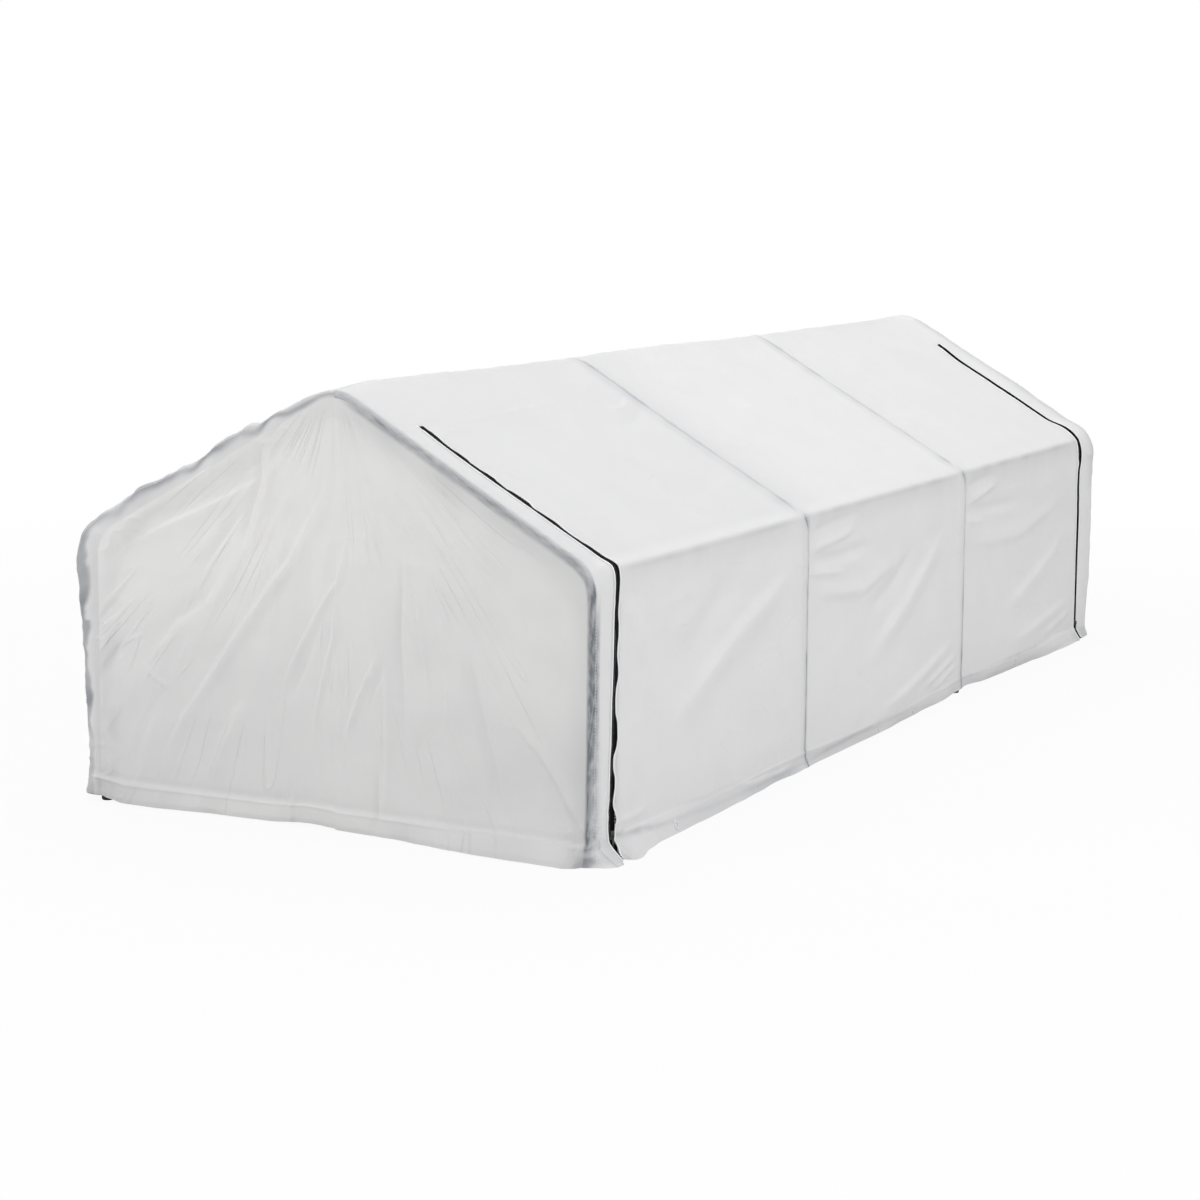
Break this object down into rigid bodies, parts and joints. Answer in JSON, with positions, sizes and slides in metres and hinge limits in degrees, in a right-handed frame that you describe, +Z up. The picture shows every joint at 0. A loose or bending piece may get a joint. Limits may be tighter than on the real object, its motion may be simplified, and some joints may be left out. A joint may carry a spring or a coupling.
{
  "type": "mini greenhouse",
  "caption": "Low greenhouse for a raised bed: tube ribs and purlins under a white woven cover with two gables and a side that unzips and folds over the roof.",
  "frame": {"origin": "centre of the outline on the ground", "axes": "+Z up, +X towards the zippered side, -Y towards the front gable, +Y along the ridge to the back"},
  "size_m": [0.9376, 2.4476, 0.6994],
  "materials": {
    "tube": "satin",
    "cap": "matte",
    "cover": "satin",
    "zip_tape": "matte",
    "zip_metal": "satin"
  },
  "bodies": {
    "frame_and_cover": {"leg_left_1": "tube", "rafter_left_1": "tube", "foot_cap_left_1": "cap", "leg_right_1": "tube", "rafter_right_1": "tube", "foot_cap_right_1": "cap", "ridge_elbow_1": "tube", "leg_left_2": "tube", "rafter_left_2": "tube", "foot_cap_left_2": "cap", "leg_right_2": "tube", "rafter_right_2": "tube", "foot_cap_right_2": "cap", "ridge_elbow_2": "tube", "leg_left_3": "tube", "rafter_left_3": "tube", "foot_cap_left_3": "cap", "leg_right_3": "tube", "rafter_right_3": "tube", "foot_cap_right_3": "cap", "ridge_elbow_3": "tube", "leg_left_4": "tube", "rafter_left_4": "tube", "foot_cap_left_4": "cap", "leg_right_4": "tube", "rafter_right_4": "tube", "foot_cap_right_4": "cap", "ridge_elbow_4": "tube", "purlin_ridge_1": "tube", "purlin_eave_left_1": "tube", "purlin_eave_right_1": "tube", "purlin_ridge_2": "tube", "purlin_eave_left_2": "tube", "purlin_eave_right_2": "tube", "purlin_ridge_3": "tube", "purlin_eave_left_3": "tube", "purlin_eave_right_3": "tube", "cover_front_gable": "cover", "cover_back_gable": "cover", "cover_end_wrap_front": "cover", "cover_end_wrap_back": "cover", "cover_left_wall_panel": "cover", "cover_left_roof_panel": "cover", "cover_ridge_panel": "cover", "zip_tape_fixed_front": "zip_tape", "zip_tape_fixed_back": "zip_tape"},
    "roof_flap": {"cover_roof_flap": "cover", "zip_tape_roof_flap_front": "zip_tape", "zip_tape_roof_flap_back": "zip_tape"},
    "wall_flap": {"cover_wall_flap": "cover", "zip_tape_wall_flap_front": "zip_tape", "zip_tape_wall_flap_back": "zip_tape"},
    "slider_front": {"zip_slider_front": "zip_metal"},
    "slider_back": {"zip_slider_back": "zip_metal"},
    "pull_front": {"zip_pull_front": "zip_metal"},
    "pull_back": {"zip_pull_back": "zip_metal"}
  },
  "joints": [
    {"name": "roof_flap_hinge", "type": "hinge", "parent": "frame_and_cover", "child": "roof_flap", "pos_m": [0.12657, 0, 0.63916], "axis": [0, -1, 0], "range_deg": [0, 150]},
    {"name": "wall_flap_hinge", "type": "hinge", "parent": "roof_flap", "child": "wall_flap", "pos_m": [0.4592, 0, 0.40993], "axis": [0, -1, 0], "range_deg": [0, 170]},
    {"name": "zip_slide_front", "type": "slide", "parent": "frame_and_cover", "child": "slider_front", "axis": [0, 0, 1], "range_m": [0, 0.36]},
    {"name": "zip_slide_back", "type": "slide", "parent": "frame_and_cover", "child": "slider_back", "axis": [0, 0, 1], "range_m": [0, 0.36]},
    {"name": "pull_hinge_front", "type": "hinge", "parent": "slider_front", "child": "pull_front", "pos_m": [0.4616, -1.1571, 0.036], "axis": [0, -1, 0], "range_deg": [0, 170]},
    {"name": "pull_hinge_back", "type": "hinge", "parent": "slider_back", "child": "pull_back", "pos_m": [0.4616, 1.1571, 0.036], "axis": [0, -1, 0], "range_deg": [0, 170]}
  ]
}
